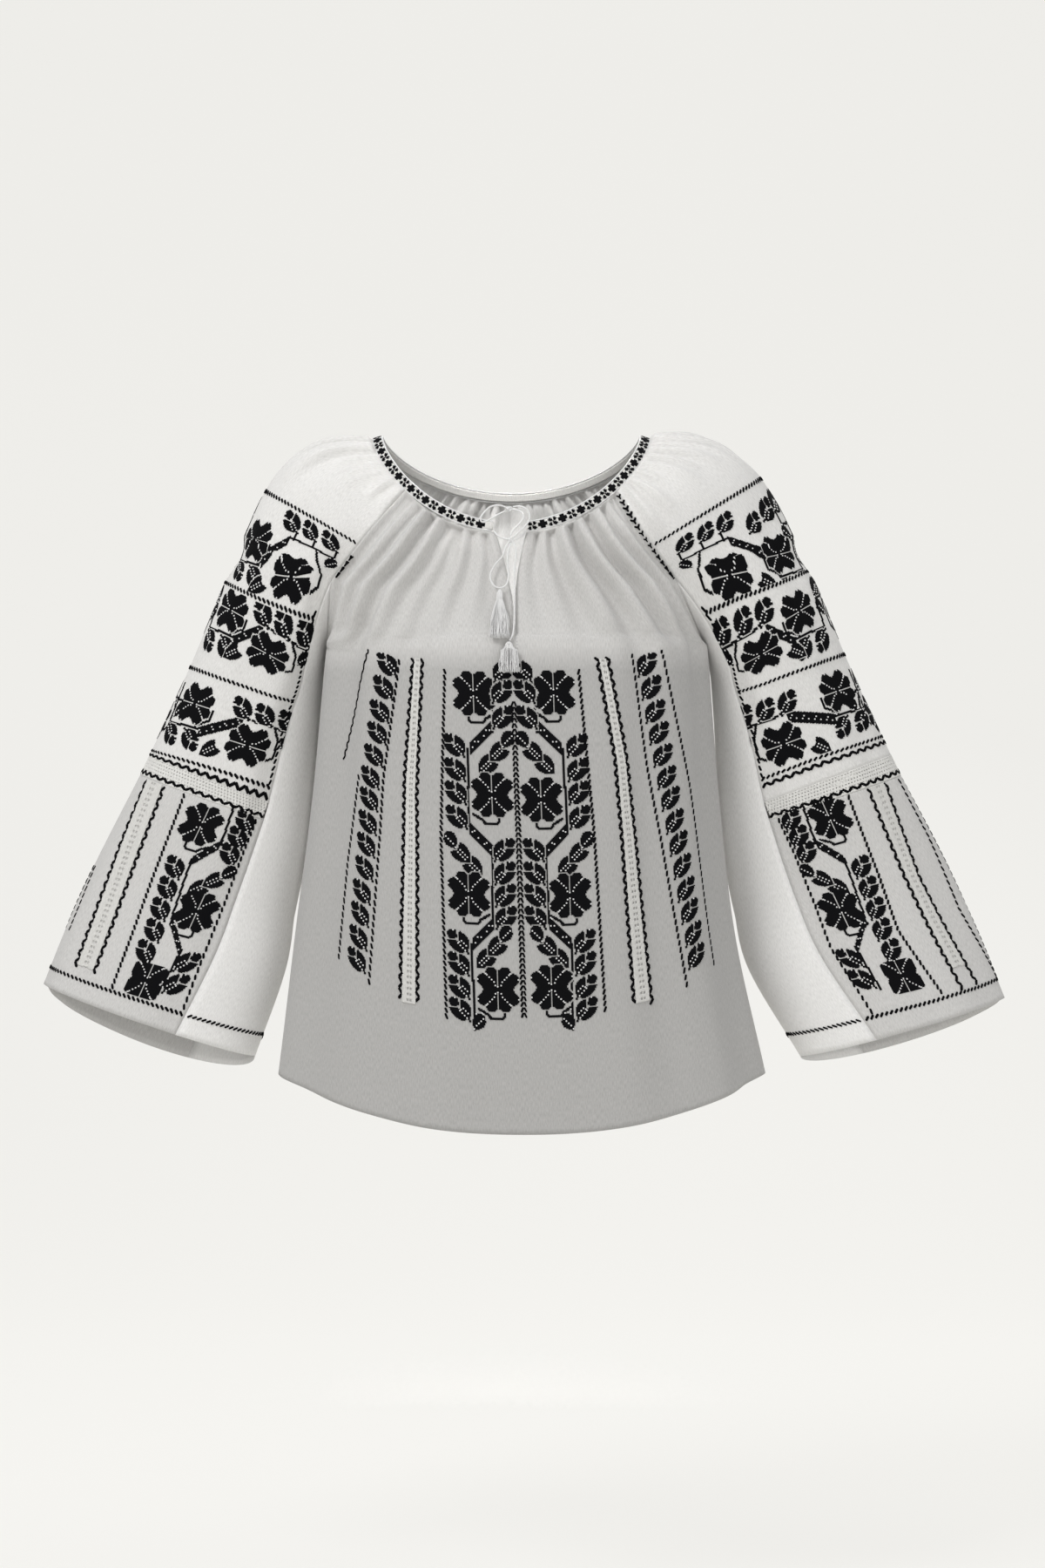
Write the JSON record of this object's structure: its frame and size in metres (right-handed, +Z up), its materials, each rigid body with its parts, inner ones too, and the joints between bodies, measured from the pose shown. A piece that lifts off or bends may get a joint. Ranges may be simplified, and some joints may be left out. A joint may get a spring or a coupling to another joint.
{
  "type": "romanian ie blouse",
  "caption": "Wide-sleeved embroidered gauze blouse, gathered to a round neck band with a tied drawstring and tassels, in its worn hollow form.",
  "frame": {"origin": "middle of the neck opening, level with the top of the shoulders, where the wearer holds the blouse up", "axes": "+Z up, -Y towards the front of the blouse, +X towards the right of a viewer facing it, across the sleeves"},
  "size_m": [0.9548, 0.2722, 0.6782],
  "materials": {
    "gauze": "sheer off-white cotton gauze, matt",
    "worked": "off-white gauze closely worked in black cross-stitch, matt",
    "lace": "white openwork lace, matt",
    "band": "white woven edging worked in black, matt",
    "cord": "white twisted cotton cord, matt"
  },
  "bodies": {
    "root": {"front": "gauze", "back": "gauze", "neck_band": "band", "sleeve_head_left": "worked", "sleeve_lace_left": "lace", "sleeve_lower_left": "gauze", "sleeve_gore_left": "gauze", "front_lace_left": "lace", "sleeve_strip_left": "lace", "sleeve_head_right": "worked", "sleeve_lace_right": "lace", "sleeve_lower_right": "gauze", "sleeve_gore_right": "gauze", "front_lace_right": "lace", "sleeve_strip_right": "lace", "tie_left": "cord", "tie_right": "cord", "knot_low": "cord", "strand_inner": "cord", "strand_outer": "cord", "knot_bow": "cord", "ear_left": "cord", "tail_left": "cord", "tail_right": "cord", "tassel_upper": "cord", "tassel_lower": "cord"}
  },
  "joints": []
}
